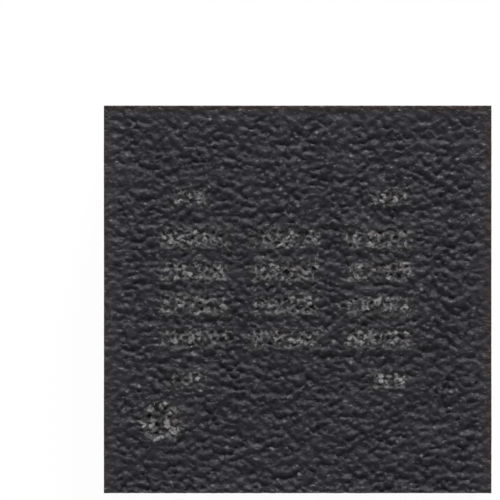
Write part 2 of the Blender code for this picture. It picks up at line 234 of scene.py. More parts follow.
def markFields(place):
    # inside a mark or not, how pale and how deep its crumbs are, and the nearness of a mark
    flat = vector("MULTIPLY", place, (1.0, 1.0, 0.0))
    x, y, _ = split(wobbled(flat, *marks["edgeWobble"]))
    fromX = minus(x, marks["centre"][0])
    fromY = minus(y, marks["centre"][1])
    barX = nearestOf(fromX, marks["barPitch"][0], -1.0, 1.0)
    barY = nearestOf(fromY, marks["barPitch"][1], -2.0, 1.0, 0.5)
    bar = boxField(barX, barY, *marks["barSize"])
    tickX = minus(calc("ABSOLUTE", minus(fromX, marks["tickShift"])), marks["tickSpread"][0])
    tickY = minus(calc("ABSOLUTE", fromY), marks["tickSpread"][1])
    tick = boxField(tickX, tickY, *marks["tickSize"])
    shaky = wobbled(flat, *marks["dotWobble"])
    reach = vector("DISTANCE", shaky, (*marks["dotCentre"], 0.0))
    dot = minus(reach, marks["dotRadius"])
    gap = least(bar, tick, dot)
    mark = ramp(gap, marks["softEdge"], -marks["softEdge"])
    halo = ramp(gap, marks["haloReach"], 0.0)
    inTick = calc("LESS_THAN", tick, marks["levelReach"])
    inDot = calc("LESS_THAN", dot, marks["levelReach"])
    level = blend(inTick, marks["barLevel"], marks["tickLevel"])
    level = blend(inDot, level, marks["dotLevel"])
    net = wobbled(flat, *marks["netWobble"])
    border = cells(net, marks["netScale"], 0, "DISTANCE_TO_EDGE", "2D")
    chance = split(cells(net, marks["netScale"], 1, dimensions="2D"))[0]
    patchy = patches(elsewhere(flat, 3.0, 9.0), *marks["netPatches"])
    grainy = patches(flat, *marks["netGrain"])
    thread = times(ramp(border, *marks["netWidth"]), patchy, grainy)
    # Brighter crumbs lie among the threads, and in the dot they make a ring round a burnt hollow
    few = crumbs(elsewhere(flat, 5.0, 2.0), *marks["crumb"])
    many = crumbs(elsewhere(flat, 8.2, 6.3), *marks["chunk"])
    fromBurnt = vector("DISTANCE", shaky, (*marks["burntCentre"], 0.0))
    floor, rim = (share * marks["dotRadius"] for share in marks["burntReach"])
    ring = ramp(fromBurnt, floor, rim, marks["ringLow"], 1.0)
    many = times(many, ring, patches(flat, *marks["rubble"]))
    inBars, inRing = marks["threadShare"]
    sparse = most(times(thread, inBars), few)
    thread = blend(inDot, sparse, most(many, times(thread, inRing)))
    pale = times(thread, level, mark)
    chosen = calc("LESS_THAN", chance, marks["pitShare"])
    chosen = times(mark, chosen, calc("SUBTRACT", 1.0, pale, clamp=True))
    return mark, pale, times(ramp(border, *marks["pitWall"]), chosen), halo


def crumbs(place, wobble, scale, edge, chance):
    # scattered crumbs, each as bright as its random number makes it
    strewn = wobbled(place, *wobble)
    apart = cells(strewn, scale, dimensions="2D", metric="MANHATTAN")
    worth = split(cells(strewn, scale, 1, dimensions="2D", metric="MANHATTAN"))[2]
    return times(ramp(apart, *edge), ramp(worth, *chance))


# Compound relief, all of it inwards from the sawn or moulded faces

relief = {
    "wrinkle": 0.0172,  # height of the top's wrinkles
    "wrinkleSpan": (0.28, 0.61),  # of the noise, which rises from flat hollow to flat crest
    "wrinkleMiddle": 0.018,  # their middle level, which lies on the solid's field
    "wrinkleNoise": (32.0, 1.5, 0.5, 0.35),  # number per millimetre, detail, roughness, twist
    "wrinkleStretch": 0.82,
    "pebbleScale": 19.84,  # coarser cells that break the wrinkles up
    "pebbleWobble": (36.0, 0.010),
    "pebble": 0.12,
    "rougher": (9.0, 0.35, 0.65, 0.70, 1.20),
    "farShare": 0.88,  # of that height, left near the far edge
    "farSpan": (0.50, 0.80),
    "swell": 0.016,  # slower rise and fall under them
    "swellNoise": (9.0, 1.0),
    "band": 0.026,  # calmer band inside the top's edges, and where the wrinkles are full
    "bandEnd": 0.110,
    "bandUneven": (18.0, 0.012),
    "bandSkip": 0.075,  # the band is left out at the edge by lead 1
    "bandShare": 0.45,  # of the wrinkles, left in the band
    "bandLevel": 0.010,  # depth at the edges, which falls to the middle level over the slope
    "slope": 0.200,
    "haloShare": 0.7,  # of the wrinkles, left beside a mark
    "markShare": 0.5,  # and inside one
    "crumb": 0.008,  # height of the burnt crumbs
    "hollow": 0.009,  # depth of the pits between them
    "dotDepth": 0.009,
    "dotSlope": (0.01, -0.05),  # start and end of the dot's wall, from its radius
    "sawMark": 0.0022,  # depth of the saw's lines
    "sawNoise": (46.0, 2.0, 0.6),
    "sawStretch": 0.05,  # its lines run long, here and in the colours of the cuts
    "grainScale": 16.0,
    "grainPull": 0.005,  # depth where a filler grain was torn out
    "grainEdge": (0.30, 0.12),
    "grainPatches": (9.0, 0.56, 0.62, 0.0, 1.0, 0.0),
    "pullClear": 0.05,  # none this close to the top
    "pullFade": 0.02,
    "cutReach": (0.009, 0.0032),  # how far in the sawn look goes on the sides, and by the top
    "cutTop": 0.04,
    "under": 0.004,  # mottling of the underside
    "underNoise": (30.0, 2.0),
}


def wrinkleDepth(place):
    x, y, _ = split(place)
    flat = joined(times(x, relief["wrinkleStretch"]), y)
    fine = noise(flat, *relief["wrinkleNoise"])
    pebbles = cells(wobbled(flat, *relief["pebbleWobble"]), relief["pebbleScale"])
    height = minus(fine, times(pebbles, relief["pebble"]))
    depth = ramp(height, *relief["wrinkleSpan"], 0.5, -0.5)
    calmer = ramp(y, *relief["farSpan"], 1.0, relief["farShare"])
    rougher = times(patches(flat, *relief["rougher"]), calmer)
    slow = sway(flat, relief["swellNoise"], relief["swell"])
    return plus(times(depth, rougher, relief["wrinkle"]), slow)


def edgeGap(place, skip=0.0):
    # distance from the nearest sawn side, skip takes the side by lead 1 further off
    x, y, _ = split(place)
    gapX = minus(bodyHigh.x / mm, calc("ABSOLUTE", x))
    far = minus(bodyHigh.y / mm, y)
    near = plus(minus(y, bodyLow.y / mm), skip)
    return least(gapX, least(far, near))


def sawDepth(along, level, seedShift):
    lines = joined(times(along, relief["sawStretch"]), plus(level, seedShift))
    scored = noise(lines, *relief["sawNoise"])
    spot = joined(along, level, seedShift)
    pit = ramp(cells(spot, relief["grainScale"]), *relief["grainEdge"])
    chosen = patches(elsewhere(spot, 0.0, 0.0, 4.0), *relief["grainPatches"])
    clear = bodyHigh.z / mm - relief["pullClear"]
    chosen = times(chosen, ramp(level, clear, clear - relief["pullFade"]))
    pulled = times(pit, chosen, relief["grainPull"])
    return plus(times(scored, relief["sawMark"]), pulled)


# Which way a point goes, how freely, and how deep the solid's field lies there
pointFields = {"push": "FLOAT_VECTOR", "give": "FLOAT", "sink": "FLOAT"}


def reliefTree(finish):
    tree = bpy.data.node_groups.new("mouldRelief", "GeometryNodeTree")
    begin(tree)
    tree.interface.new_socket("Geometry", in_out="INPUT", socket_type="NodeSocketGeometry")
    strength = tree.interface.new_socket("Relief", in_out="INPUT", socket_type="NodeSocketFloat")
    strength.default_value = 1.0
    tree.interface.new_socket("Geometry", in_out="OUTPUT", socket_type="NodeSocketGeometry")
    given = put("NodeGroupInput").outputs
    place = vector("SCALE", put("GeometryNodeInputPosition").outputs[0], 1 / mm)
    push, give, sink = (
        put("GeometryNodeInputNamedAttribute", {"Name": name}, data_type=kind).outputs[0]
        for name, kind in pointFields.items()
    )
    x, y, z = split(place)
    mark, pale, pit, halo = markFields(place)
    # Moulded top: wrinkles that stop short of the edges, crumbs and pits in the marks
    scale, height = relief["bandUneven"]
    uneven = times(noise(place, scale), height)
    gap = plus(edgeGap(place, relief["bandSkip"]), uneven)
    inField = ramp(gap, relief["band"], relief["bandEnd"])
    calm = blend(inField, relief["bandShare"], 1.0)
    level = ramp(gap, 0.0, relief["slope"], relief["bandLevel"], relief["wrinkleMiddle"])
    wrinkles = plus(level, times(wrinkleDepth(place), calm))
    softened = times(wrinkles, ramp(halo, 0.0, 1.0, 1.0, relief["haloShare"]))
    raised = blend(pale, relief["crumb"], 0.0)
    hollows, remains = times(pit, relief["hollow"]), times(wrinkles, relief["markShare"])
    top = blend(mark, softened, plus(raised, hollows, remains))
    fromDot = vector("DISTANCE", joined(x, y), (*marks["dotCentre"], 0.0))
    rim, floor = (marks["dotRadius"] + past for past in relief["dotSlope"])
    top = plus(top, ramp(fromDot, rim, floor, 0.0, relief["dotDepth"]))
    swell = times(minus(sink, relief["wrinkleMiddle"]), inField)
    top = most(plus(top, swell), 0.0)
    under = times(noise(place, *relief["underNoise"]), relief["under"])
    isTop = calc("GREATER_THAN", z, bodyHigh.z / mm / 2)
    deepZ = blend(isTop, under, top)
    deepX = sawDepth(y, z, 0.0)
    deepY = sawDepth(x, z, 11.0)
    moved = vector("MULTIPLY", push, joined(deepX, deepY, deepZ))
    offset = vector("SCALE", moved, times(give, given["Relief"], mm))
    moves = {"Geometry": given["Geometry"], "Offset": offset}
    shaped = put("GeometryNodeSetPosition", moves).outputs[0]
    solid = put("GeometryNodeRealizeInstances", {"Geometry": shaped}).outputs[0]
    dressed = put("GeometryNodeSetMaterial", {"Geometry": solid, "Material": finish}).outputs[0]
    put("NodeGroupOutput", {"Geometry": dressed})
    return tree, strength.identifier


# The body's outer skin, laid out again in fine triangles that join the solid's own pockets

skin = {
    "top": 0.0088,  # spacing of the top's points
    "mark": 0.0058,  # and inside its marks
    "under": 0.022,
    "along": 0.032,  # on the sawn sides, along the cut
    "across": 0.0125,  # and up the side
    "fade": 0.030,  # relief dies away this close to a foot or a sawn lead
    "joinWithin": 2e-5,  # points nearer than this are one
    "onFace": 1e-5,  # points nearer than this to a face are on it
    "crowded": 0.4,  # share of the spacing that even stops keep from fixed ones
    "edgeClear": 0.3,  # and inner points from the edges
    "topDeep": 0.045,  # the solid's band, field and dot lie within this of its top
    "bandWidth": 0.062,  # the solid's band and the slope inside it
    "bandLess": 0.030,  # its band is this much narrower by lead 1
    "dotClear": 0.004,  # no depth is read this close to its dot
    "swellStep": 0.02,  # spacing at which the solid's field is read
    "swellReach": 0.045,  # over which its facets are rounded off
}


def facePlanes(low, high):
    # axis, level, outward sign and spacing along x, y and z of the body's six outer faces
    top, under, along, across = skin["top"], skin["under"], skin["along"], skin["across"]
    planes = [(2, high[2], 1, (top, top, 0)), (2, low[2], -1, (under, under, 0))]
    for level, sign in ((low, -1), (high, 1)):
        planes.append((0, level[0], sign, (0, along, across)))
        planes.append((1, level[1], sign, (along, 0, across)))
    return planes


def onPlane(value, level):
    return abs(value - level) < 10 * skin["joinWithin"]


def edgeStops(low, high, step, fixed):
    # places along one edge of the body: even steps, less those that crowd a fixed one
    count = round((high - low) / step)
    even = [low + (high - low) * k / count for k in range(1, count)]
    fixed = sorted(set(round(f, 6) for f in fixed) | {low, high})
    even = [e for e in even if min(abs(e - f) for f in fixed) > skin["crowded"] * step]
    return sorted(even + fixed)


def inMark(x, y):
    # near enough to a mark to need the fine spacing
    spare = marks["edgeWobble"][1]
    fromX, fromY = x - marks["centre"][0], y - marks["centre"][1]
    pitchX, pitchY = marks["barPitch"]
    barX = fromX - max(-1, min(1, round(fromX / pitchX))) * pitchX
    barY = fromY - (max(-2, min(1, round(fromY / pitchY - 0.5))) + 0.5) * pitchY
    tickX = abs(fromX - marks["tickShift"]) - marks["tickSpread"][0]
    tickY = abs(fromY) - marks["tickSpread"][1]
    spots = ((barX, barY, marks["barSize"]), (tickX, tickY, marks["tickSize"]))
    if any(abs(a) < size[0] / 2 + spare and abs(b) < size[1] / 2 + spare for a, b, size in spots):
        return True
    return math.hypot(x - marks["dotCentre"][0], y - marks["dotCentre"][1]) < marks["dotRadius"] + spare


def lattice(low, high, steps, keep):
    # staggered rows of points inside a rectangle
    rows = round((high[1] - low[1]) / (steps[1] * 0.9))
    columns = round((high[0] - low[0]) / steps[0])
    found = []
    for row in range(1, rows):
        y = low[1] + (high[1] - low[1]) * row / rows
        for column in range(columns):
            x = low[0] + (high[0] - low[0]) * (column + (0.75 if row % 2 else 0.25)) / columns
            if keep(x, y):
                found.append((x, y))
    return found


def openedBody(planes):
    # the solid in millimetres without its outer faces, which are returned plane by plane
    shape = bmesh.new()
    shape.from_mesh(nodes["mould_body"].data)
    for v in shape.verts:
        v.co /= mm
        for axis, level, *_ in planes:
            if onPlane(v.co[axis], level):
                v.co[axis] = level
    bmesh.ops.remove_doubles(shape, verts=shape.verts[:], dist=skin["joinWithin"])
    outer = {key: [] for key in range(len(planes))}
    for face in shape.faces:
        for key, (axis, level, *_) in enumerate(planes):
            flat = all(v.co[axis] == level for v in face.verts)
            field = key == 0 and all(v.co.z > level - skin["topDeep"] for v in face.verts)
            if flat or field:
                outer[key].append(face)
                break
    corners = {key: [[v.co.copy() for v in face.verts] for face in faces] for key, faces in outer.items()}
    bmesh.ops.delete(shape, geom=[f for faces in outer.values() for f in faces], context="FACES")
    rims = [tuple(v.co.copy() for v in e.verts) for e in shape.edges if e.is_boundary]
    bmesh.ops.delete(shape, geom=[v for v in shape.verts if not v.link_faces], context="VERTS")
    print("pockets kept:", len(shape.faces), "faces,", len(rims), "rim edges")
    return shape, corners, rims


def keptRegions(spots, triangles, walls, held):
    # triangles on the held side of the walls, each walled region judged as a whole
    owners = {}
    for number, triangle in enumerate(triangles):
        for k in range(3):
            edge = frozenset((triangle[k], triangle[k - 1]))
            if edge not in walls:
                owners.setdefault(edge, []).append(number)
    beside = [[] for _ in triangles]
    for pair in owners.values():
        if len(pair) == 2:
            beside[pair[0]].append(pair[1])
            beside[pair[1]].append(pair[0])
    ground = BVHTree.FromPolygons(
        [(c[0], c[1], 0.0) for corner in held for c in corner],
        [(3 * k, 3 * k + 1, 3 * k + 2) for k in range(len(held))],
    )
    kept, seen = [], set()
    for start in range(len(triangles)):
        if start in seen:
            continue
        region, waiting = [], [start]
        seen.add(start)
        while waiting:
            number = waiting.pop()
            region.append(number)
            for other in beside[number]:
                if other not in seen:
                    seen.add(other)
                    waiting.append(other)
        inside = 0
        for number in region:
            middle = sum((spots[i] for i in triangles[number]), Vector((0.0, 0.0))) / 3
            inside += ground.find_nearest((middle.x, middle.y, 0.0), 1e-4)[0] is not None
        if 2 * inside > len(region):
            kept += [triangles[number] for number in region]
    return kept


def addSheet(shape, plane, planes, corners, rims, low, high):
    axis, level, sign, steps = plane
    u, w = (axis + 1) % 3, (axis + 2) % 3
    mine = [rim for rim in rims if all(p[axis] == level for p in rim)]
    points, links, index = [], [], {}

    def add(a, b):
        key = (round(a, 5), round(b, 5))
        if key not in index:
            index[key] = len(points)
            points.append((a, b))
        return index[key]

    # Rims of the pockets that open in this face
    for first, second in mine:
        links.append((add(first[u], first[w]), add(second[u], second[w])))
    # Its four outer edges, each stepped like the finer of the two faces that share it
    for along, across in ((u, w), (w, u)):
        for end in (low, high):
            other = next(p for p in planes if p[0] == across and p[1] == end[across])
            step = min(steps[along], other[3][along])
            fixed = [p[along] for rim in rims for p in rim if p[axis] == level and p[across] == end[across]]
            stops = edgeStops(low[along], high[along], step, fixed)
            line = [add(s, end[across]) if along == u else add(end[across], s) for s in stops]
            links += list(zip(line, line[1:]))
    # Points inside, clear of the rims
    near = KDTree(4 * len(mine) + 1)
    for number, (first, second) in enumerate(mine):
        for k in range(4):
            spot = first.lerp(second, (k + 0.5) / 4)
            near.insert((spot[u], spot[w], 0.0), 4 * number + k)
    near.balance()
    spread = (steps[u], steps[w])
    box = ((low[u], low[w]), (high[u], high[w]))
    if mine:
        clear = 0.5 * min(spread)
        inside = lattice(*box, spread, lambda a, b: near.find((a, b, 0.0))[2] > clear)
    elif sign > 0 and axis == 2:
        inside = lattice(*box, spread, lambda a, b: not inMark(a, b))
        inside += lattice(*box, (skin["mark"], skin["mark"]), inMark)
    else:
        inside = lattice(*box, spread, lambda a, b: True)
    clearU, clearW = (skin["edgeClear"] * s for s in spread)
    for a, b in inside:
        if min(a - low[u], high[u] - a) > clearU and min(b - low[w], high[w] - b) > clearW:
            points.append((a, b))
    flat = [Vector(p) for p in points]
    spots, edges, triangles, _, sources, _ = delaunay_2d_cdt(flat, links, [], 0, 1e-7, True)
    if mine:
        walls = {frozenset(e) for e, source in zip(edges, sources) if any(k < len(mine) for k in source)}
        held = [[(c[u], c[w]) for c in corner] for corner in corners]
        triangles = keptRegions(spots, triangles, walls, held)
    made = {}
    for triangle in triangles:
        for i in triangle:
            if i not in made:
                place = [0.0, 0.0, 0.0]
                place[axis], place[u], place[w] = level, spots[i].x, spots[i].y
                made[i] = shape.verts.new(place)
        shape.faces.new([made[i] for i in triangle[::sign]])
    print("sheet", "xyz"[axis], "+" if sign > 0 else "-", "has", len(triangles), "triangles")


def solidField(corners, low, high):
    # depth of the solid's rough field on an even grid, its facets rounded off and carried over band and dot
    ground = BVHTree.FromPolygons(
        [p for corner in corners for p in corner],
        [range(3 * k, 3 * k + 3) for k in range(len(corners))],
    )
    stops = np.arange(low.x, high.x + skin["swellStep"] / 2, skin["swellStep"])
    depth = np.zeros((len(stops), len(stops)))
    known = np.zeros_like(depth)
    for column, x in enumerate(stops):
        for row, y in enumerate(stops):
            hit = ground.ray_cast(Vector((x, y, high.z + 1)), Vector((0, 0, -1)))[0]
            if hit is None:
                continue
            fromEdge = min(x - low.x, high.x - x, y - low.y + skin["bandLess"], high.y - y)
            fromDot = math.hypot(x - marks["dotCentre"][0], y - marks["dotCentre"][1])
            if fromEdge > skin["bandWidth"] and fromDot > marks["dotRadius"] + skin["dotClear"]:
                depth[column, row], known[column, row] = high.z - hit.z, 1.0
    reach = skin["swellReach"] / skin["swellStep"]
    kernel = np.exp(-0.5 * (np.arange(-8, 9) / reach) ** 2)
    for axis in (0, 1):
        depth, known = (
            np.apply_along_axis(np.convolve, axis, field, kernel, mode="same") for field in (depth, known)
        )
    middle = depth.sum() / known.sum()
    depth = np.where(known > 1e-6, depth / np.maximum(known, 1e-6), middle)
    print("solid's field lies", round(float(middle), 4), "mm down")
    return stops, depth


def readField(stops, depth, x, y):
    # the grid's value at each place, worked out from the four corners round it
    step = stops[1] - stops[0]
    column = np.clip((x - stops[0]) / step, 0, len(stops) - 1.001)
    row = np.clip((y - stops[0]) / step, 0, len(stops) - 1.001)
    c, r = column.astype(int), row.astype(int)
    u, w = column - c, row - r
    near = depth[c, r] * (1 - u) + depth[c + 1, r] * u
    far = depth[c, r + 1] * (1 - u) + depth[c + 1, r + 1] * u
    return near * (1 - w) + far * w


def buildBody(finish):
    low, high = Vector(bodyLow) / mm, Vector(bodyHigh) / mm
    planes = facePlanes(low, high)
    shape, corners, rims = openedBody(planes)
    for key, plane in enumerate(planes):
        addSheet(shape, plane, planes, corners[key], rims, low, high)
    bmesh.ops.remove_doubles(shape, verts=shape.verts[:], dist=skin["joinWithin"])
    odd = sum(len(e.link_faces) != 2 for e in shape.edges)
    print("body has", len(shape.faces), "faces and", odd, "unpaired edges")
    mesh = bpy.data.meshes.new("mouldBase")
    shape.to_mesh(mesh)
    shape.free()
    co = np.empty(len(mesh.vertices) * 3)
    mesh.vertices.foreach_get("co", co)
    co = co.reshape(-1, 3)
    # points go inwards from the faces they lie on, and less freely by a foot or a sawn lead
    push = np.zeros_like(co)
    for axis in range(3):
        push[np.abs(co[:, axis] - high[axis]) < skin["onFace"], axis] = -1.0
        push[np.abs(co[:, axis] - low[axis]) < skin["onFace"], axis] = 1.0
    near = KDTree(5 * len(rims))
    for number, (first, second) in enumerate(rims):
        for k in range(5):
            near.insert(first.lerp(second, k / 4), 5 * number + k)
    near.balance()
    give = np.array([min(1.0, near.find(c)[2] / skin["fade"]) for c in co])
    give = give * give * (3 - 2 * give)
    sink = readField(*solidField(corners[0], low, high), co[:, 0], co[:, 1])
    for (name, kind), values in zip(pointFields.items(), (push, give, sink)):
        made = mesh.attributes.new(name, kind, "POINT")
        slot = "vector" if kind == "FLOAT_VECTOR" else "value"
        made.data.foreach_set(slot, values.astype(np.float32).ravel())
    mesh.vertices.foreach_set("co", (co * mm).astype(np.float32).ravel())
    base = placed("mouldBase", mesh)
    tree, strength = reliefTree(finish)
    modifier = base.modifiers.new("relief", "NODES")
    modifier.node_group = tree
    modifier[strength] = 1.0
    return plain(base, "moulded_body", finish)


def placed(name, data):
    made = bpy.data.objects.new(name, data)
    bpy.context.scene.collection.objects.link(made)
    return made


def plain(source, name, finish):
    # the evaluated result as a mesh of its own, at the origin
    graph = bpy.context.evaluated_depsgraph_get()
    mesh = bpy.data.meshes.new_from_object(source.evaluated_get(graph))
    mesh.name = name
    for old in pointFields:
        if old in mesh.attributes:
            mesh.attributes.remove(mesh.attributes[old])
    dress(mesh, finish)
    mesh.shade_smooth()
    mesh.set_sharp_from_angle(angle=math.radians(60))
    bpy.data.objects.remove(source)
    print(name, "has", len(mesh.polygons), "faces")
    return placed(name, mesh)


# Materials

def emptied(owner):
    owner.use_nodes = True
    owner.node_tree.nodes.clear()
    begin(owner.node_tree)
    return owner


def newMaterial(name, **fixed):
    made = bpy.data.materials.new(name)
    made.use_nodes = True
    begin(made.node_tree)
    shader = made.node_tree.nodes["Principled BSDF"]
    for key, value in fixed.items():
        plug(shader.inputs[key], value)
    return made, shader, inMillimetres()


def inMillimetres():
    return vector("SCALE", put("ShaderNodeTexCoord").outputs["Object"], 1 / mm)


def feed(shader, colour, rough, height=None, strength=0.0, depth=0.0):
    # the finished pattern goes to the surface, with a bump of that depth where there is a height
    plug(shader.inputs["Base Color"], colour)
    plug(shader.inputs["Roughness"], rough)
    if height is not None:
        bump = put("ShaderNodeBump", {"Strength": strength, "Distance": depth * mm, "Height": height})
        plug(shader.inputs["Normal"], bump.outputs[0])


etched = {
    "padSize": (1.60, 1.00),  # exposed pad, its cut corner, and the feet, as on the solids
    "padCut": 0.30,
    "padCorner": 0.055,
    "footSize": (0.30, 0.25),
    "footCorner": 0.040,
    "footPitch": 0.65,
}


def roundedGap(x, y, width, height, radius):
    # distance inwards from the edge of a rounded rectangle round the origin
    overX = minus(calc("ABSOLUTE", x), width / 2 - radius)
    overY = minus(calc("ABSOLUTE", y), height / 2 - radius)
    pastX, pastY = most(overX, 0.0), most(overY, 0.0)
    outside = vector("LENGTH", joined(pastX, pastY))
    inside = least(most(overX, overY), 0.0)
    return minus(radius, plus(outside, inside))


def etchedGap(x, y):
    # distance from the sawn end of the nearest foot, and inwards from the nearest etched edge of foot or pad
    end = minus(bodyHigh.y / mm, calc("ABSOLUTE", y))
    pad = roundedGap(x, y, *etched["padSize"], etched["padCorner"])
    reach = (etched["padSize"][0] + etched["padSize"][1]) / 2 - etched["padCut"]
    cut = times(plus(plus(x, y), reach), math.sqrt(0.5))
    pad = least(pad, cut)
    footX = nearestOf(x, etched["footPitch"], -1.0, 1.0)
    width, length = etched["footSize"]
    foot = roundedGap(footX, end, width, 2 * length, etched["footCorner"])
    onPad = calc("GREATER_THAN", end, (length + bodyHigh.y / mm - etched["padSize"][1] / 2) / 2)
    return end, blend(onPad, foot, pad)


compound = {
    "dark": (0.0150, 0.0140, 0.0205),
    "light": (0.0220, 0.0208, 0.0285),
    "edge": (0.0252, 0.0210, 0.0218),
    "outer": (0.0262, 0.0250, 0.0330),
    "rusty": (0.0300, 0.0195, 0.0200),
    "reddish": (0.0400, 0.0165, 0.0165),
    "brown": (0.0225, 0.0190, 0.0195),
    "olive": (0.0195, 0.0200, 0.0172),
    "pale": (0.335, 0.335, 0.338),
    "blush": (0.270, 0.222, 0.215),
    # the next colour is painted shade for the hollows of the marks' pits
    "pit": (0.005, 0.005, 0.006),
    "char": (0.0085, 0.0068, 0.0055),
    "charShare": 0.85,  # how strongly it shows in the dot, and the painted shade of the pits in every mark
    "pitShare": 0.8,
    "sawn": (0.0300, 0.0295, 0.0310),
    "filler": (0.120, 0.120, 0.120),
    "fleck": (0.112, 0.112, 0.120),
    "grain": (0.150, 0.145, 0.155),
    "under": (0.0033, 0.0028, 0.0054),
    "underPale": (0.0500, 0.0490, 0.0600),
    "underFleck": (0.1000, 0.1000, 0.1150),
    "underEdge": (0.0170, 0.0105, 0.0095),
    # the next colour is painted shade, a black line beside the feet and the pad
    "seam": (0.0012, 0.0010, 0.0010),
    "underShine": (0.42, 0.42, 0.45),
    "shine": 0.34,
    "markRough": 0.80,  # roughness of crumbs and of sawn sides
    "sawnRough": 0.66,
    "fineNoise": (72.0, 2.0, 0.6),
    "fineBump": (0.8, 0.0064),  # strength, and depth in millimetres
}


# Noises of the compound: waves per millimetre, span of the noise, what it becomes, detail and roughness
mottle = {
    "slow": (5.0, 0.35, 0.65, 0.0, 1.0, 3.0, 0.6),
    "edgeTone": (6.0, 0.42, 0.60, 0.0, 1.0, 2.0),
    "reddened": (4.0, 0.35, 0.55, 0.45, 1.0, 0.0),
    "burnt": (12.0, 0.42, 0.58),
    "stained": (16.0, 0.38, 0.60, 0.15, 0.85),
    "blushing": (10.0, 0.58, 0.70, 0.0, 0.7),
    "speck": (58.0, 0.60, 0.74, 0.0, 1.0, 1.6, 0.55),
    "scored": (60.0, 0.35, 0.7, 0.0, 1.0, 2.0),
    "patchy": (7.0, 0.38, 0.62, 0.12, 1.0, 3.0, 0.6),
    "worms": (20.0, 3.0, 0.6, 0.4),  # plain noise, a fleck runs where it crosses a level
    "shards": (40.0, 0.53, 0.68, 0.0, 1.0, 2.0, 0.6),
    "rough": (30.0, 0.3, 0.7, 0.54, 0.66, 2.0),
    "fineShare": (16.0, 0.36, 0.64, 0.5, 1.5),
}

# Where each tone starts and is full, in millimetres from its edge, and how strongly it shows there
tones = {
    "blotch": (14.0, 0.024),  # waves per millimetre, and how far the bands' inner edges stray
    "underBlotch": 1.5,  # times as far below
    "outer": (0.220, 0.040, 0.0, 0.6),
    "edge": (0.066, 0.036, 0.0, 0.9),
    "farDark": (0.030, 0.0, 0.0, 0.4),
    "farRed": (0.007, -0.006),
    "underEdge": (0.070, 0.040, 0.0, 0.8),
    "seam": (-0.032, -0.008),
    "underTop": (0.036, 0.032),
}

filler = {
    # wobble, cells per millimetre, the share of them that hold a grain, its edge and its shape
    "top": ((60.0, 0.005), 11.0, 0.08, (0.18, 0.02), "MANHATTAN"),
    "under": ((40.0, 0.010), 20.0, 0.25, (0.24, 0.04), "EUCLIDEAN"),
    "underLevel": 0.8,
    "cutScale": 34.0,
    "cutEdge": (0.42, 0.34),
    "cutSize": (13.0, 0.5),  # noise that makes grains differ in size
    "cutLevel": 0.6,
    "speckStretch": 0.6,
    "wormLevel": 0.52,
    "wormEdge": (0.070, 0.0, 0.0, 0.65),
    "shardStretch": (1.0, 0.6, 1.0),
}


def grains(place, wobble, scale, share, edge, metric):
    # grains of filler, and which of the cells hold one
    strewn = wobbled(place, *wobble)
    grain = ramp(cells(strewn, scale, dimensions="2D", metric=metric), *edge)
    return grain, calc("LESS_THAN", split(cells(strewn, scale, 1, dimensions="2D"))[0], share)


def topColour(x, y, flat, fields, blotch, band):
    _, pale, pit, halo = fields
    colour = tint(patches(flat, *mottle["slow"]), compound["dark"], compound["light"])
    colour = tint(ramp(band, *tones["outer"]), colour, compound["outer"])
    edgeTone = tint(patches(flat, *mottle["edgeTone"]), compound["edge"], compound["rusty"])
    colour = tint(ramp(band, *tones["edge"]), colour, edgeTone)
    farEdge = minus(bodyHigh.y / mm, plus(y, blotch))
    colour = tint(ramp(farEdge, *tones["farDark"]), colour, compound["char"])
    reddened = times(patches(flat, *mottle["reddened"]), ramp(farEdge, *tones["farRed"]))
    colour = tint(reddened, colour, compound["reddish"])
    # Marks: scorched round about, pale crumbs, and pits between them painted black as shade in their hollows
    scorched = tint(patches(flat, *mottle["burnt"]), compound["brown"], compound["olive"])
    stained = patches(elsewhere(flat, 1.0, 6.0), *mottle["stained"])
    colour = tint(times(halo, stained), colour, scorched)
    blushing = patches(elsewhere(flat, 8.0, 4.0), *mottle["blushing"])
    crumbTone = tint(blushing, compound["pale"], compound["blush"])
    fromBurnt = vector("DISTANCE", flat, (*marks["burntCentre"], 0.0))
    start, full = (share * marks["dotRadius"] for share in marks["charReach"])
    charred = ramp(fromBurnt, start, full, 0.0, compound["charShare"])
    colour = tint(charred, colour, compound["char"])
    colour = tint(pale, colour, crumbTone)
    # painted shade: the pits' hollows are coloured near black, beside the shade their real depth gives
    colour = tint(times(pit, compound["pitShare"]), colour, compound["pit"])
    # Small pale flecks all over the top
    speck = patches(joined(times(x, filler["speckStretch"]), y, 2.0), *mottle["speck"])
    colour = tint(speck, colour, compound["fleck"])
    return tint(times(*grains(flat, *filler["top"])), colour, compound["grain"])


def scoredPlace(x, y, z):
    return joined(times(plus(x, y), relief["sawStretch"]), z)


def sawnColour(x, y, z, place):
    # scored along the cut, with cut filler grains
    sawn = tint(patches(scoredPlace(x, y, z), *mottle["scored"]), compound["dark"], compound["sawn"])
    scale, share = filler["cutSize"]
    grainSize = times(noise(place, scale), share)
    grain = plus(cells(place, filler["cutScale"]), grainSize)
    grain = times(ramp(grain, *filler["cutEdge"]), filler["cutLevel"])
    return tint(grain, sawn, compound["filler"])


def underColour(x, y, flat, place, blotch):
    # duller and bluish black, with worm-like flecks, browner along the cuts, and a black line of painted
    # shade beside the metal
    patchy = patches(flat, *mottle["patchy"])
    worms = minus(noise(flat, *mottle["worms"]), filler["wormLevel"])
    worms = ramp(calc("ABSOLUTE", worms), *filler["wormEdge"])
    shards = patches(vector("MULTIPLY", flat, filler["shardStretch"]), *mottle["shards"])
    worms = times(most(worms, shards), patchy)
    under = tint(worms, compound["under"], compound["underPale"])
    beads, held = grains(flat, *filler["under"])
    beads = times(beads, times(patchy, held), filler["underLevel"])
    under = tint(beads, under, compound["underFleck"])
    along = plus(edgeGap(place), times(blotch, tones["underBlotch"]))
    under = tint(ramp(along, *tones["underEdge"]), under, compound["underEdge"])
    # painted shade: the compound turns black in a thin line just outside each foot and the pad
    return tint(ramp(etchedGap(x, y)[1], *tones["seam"]), under, compound["seam"])


